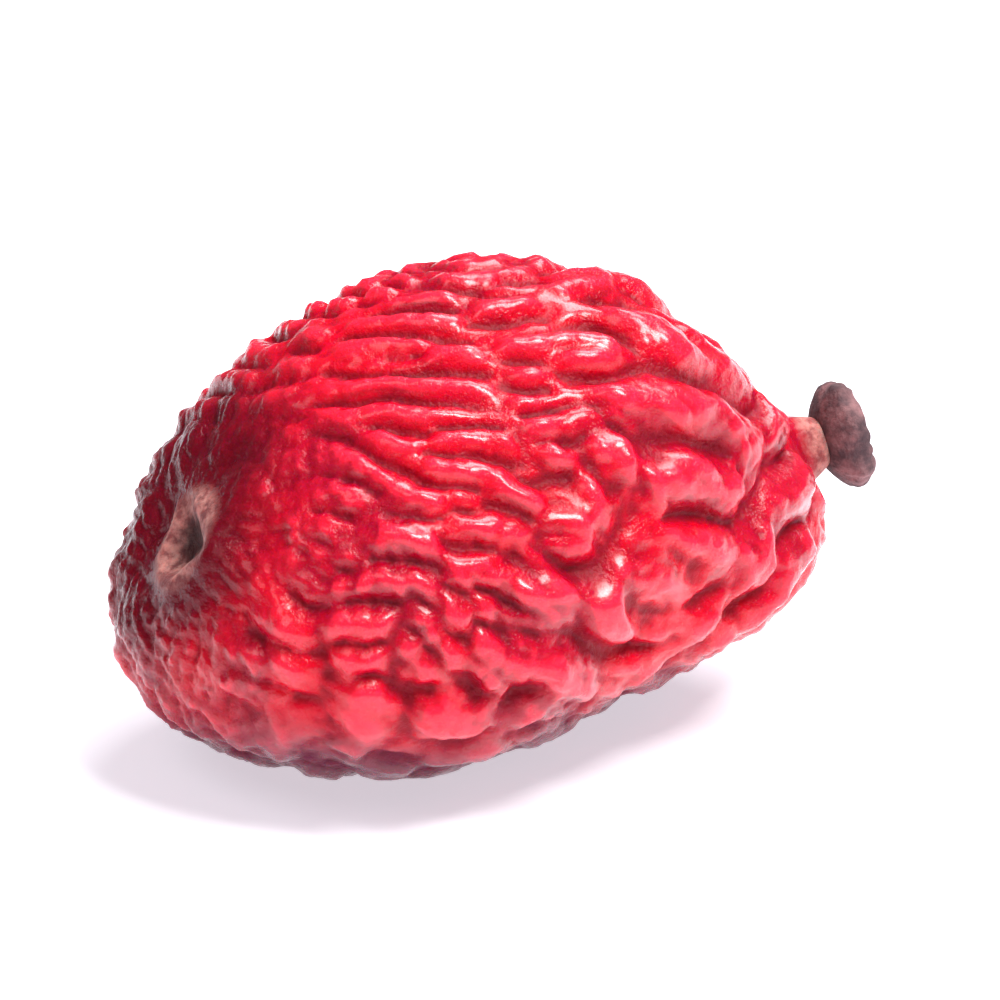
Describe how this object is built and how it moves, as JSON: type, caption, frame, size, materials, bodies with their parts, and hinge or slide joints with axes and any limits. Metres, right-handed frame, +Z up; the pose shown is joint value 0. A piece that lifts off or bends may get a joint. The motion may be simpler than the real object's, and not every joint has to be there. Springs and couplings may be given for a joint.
{
  "type": "dried barberry",
  "caption": "Single dried barberry lying on its side: an oblong, wrinkled red berry with a stalk scar at one end and a corky stigma button on the other.",
  "frame": {"origin": "on the surface that the berry lies on, under the middle of its bounding box", "axes": "+X along the berry from the stalk scar to the stigma button, +Z up"},
  "size_m": [0.009, 0.006, 0.0054],
  "materials": {
    "berry_skin": "satin",
    "corky_stigma": "matte"
  },
  "bodies": {
    "root": {"berry": "berry_skin", "stigma_cap": "corky_stigma"}
  },
  "joints": []
}
